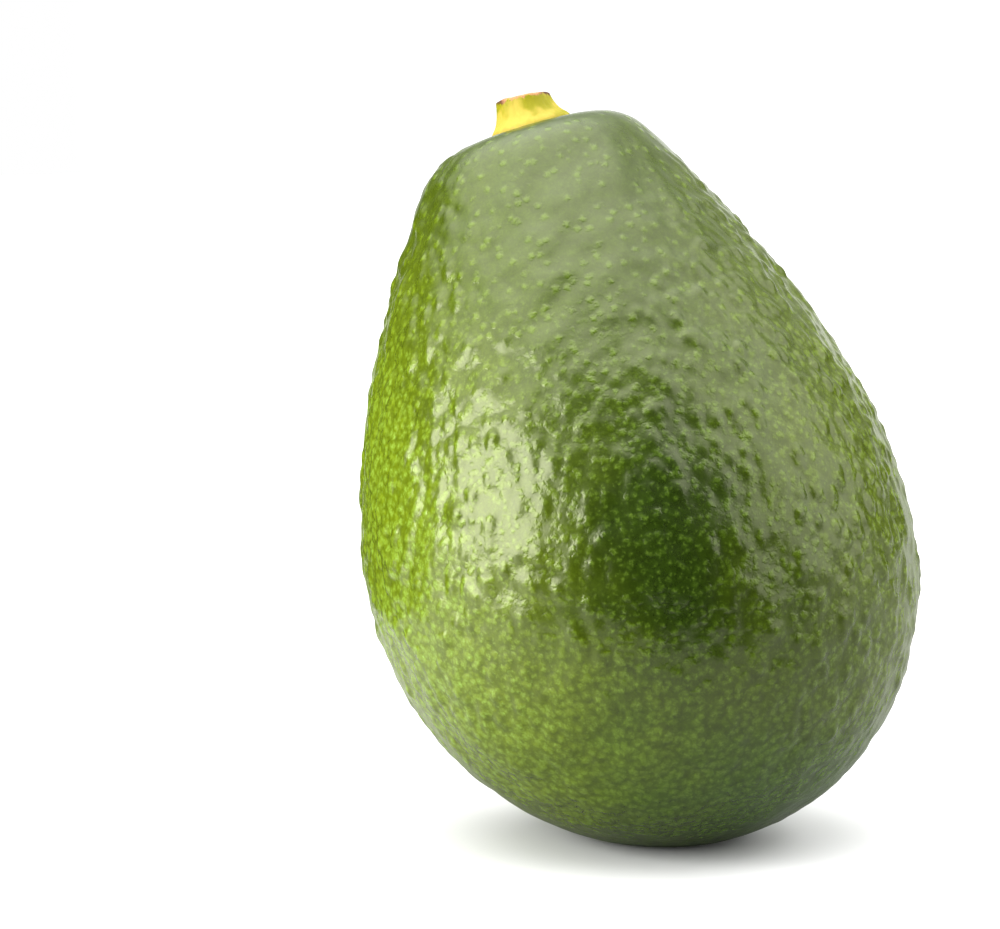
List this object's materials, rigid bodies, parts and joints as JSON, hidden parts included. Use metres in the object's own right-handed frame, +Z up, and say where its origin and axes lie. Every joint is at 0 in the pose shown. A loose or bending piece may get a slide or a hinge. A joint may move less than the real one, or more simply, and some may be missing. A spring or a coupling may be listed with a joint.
{
  "type": "avocado",
  "caption": "Whole green avocado standing on its blunt end and leaning a little, with pebbled glossy skin and a short cut stem.",
  "frame": {"origin": "centre of the small flat spot on the blossom end that the fruit rests on", "axes": "+Z up out of the surface that it stands on; the stem end leans towards -X and a little towards +Y"},
  "size_m": [0.0767, 0.0754, 0.101],
  "materials": {
    "skin": "glossy waxy green avocado skin with low pebbles and small pale dots",
    "stem": "pale yellow-green woody stalk with a dry tan cut and a dark rim"
  },
  "bodies": {
    "root": {"fruit": "skin", "stem": "stem"}
  },
  "joints": []
}
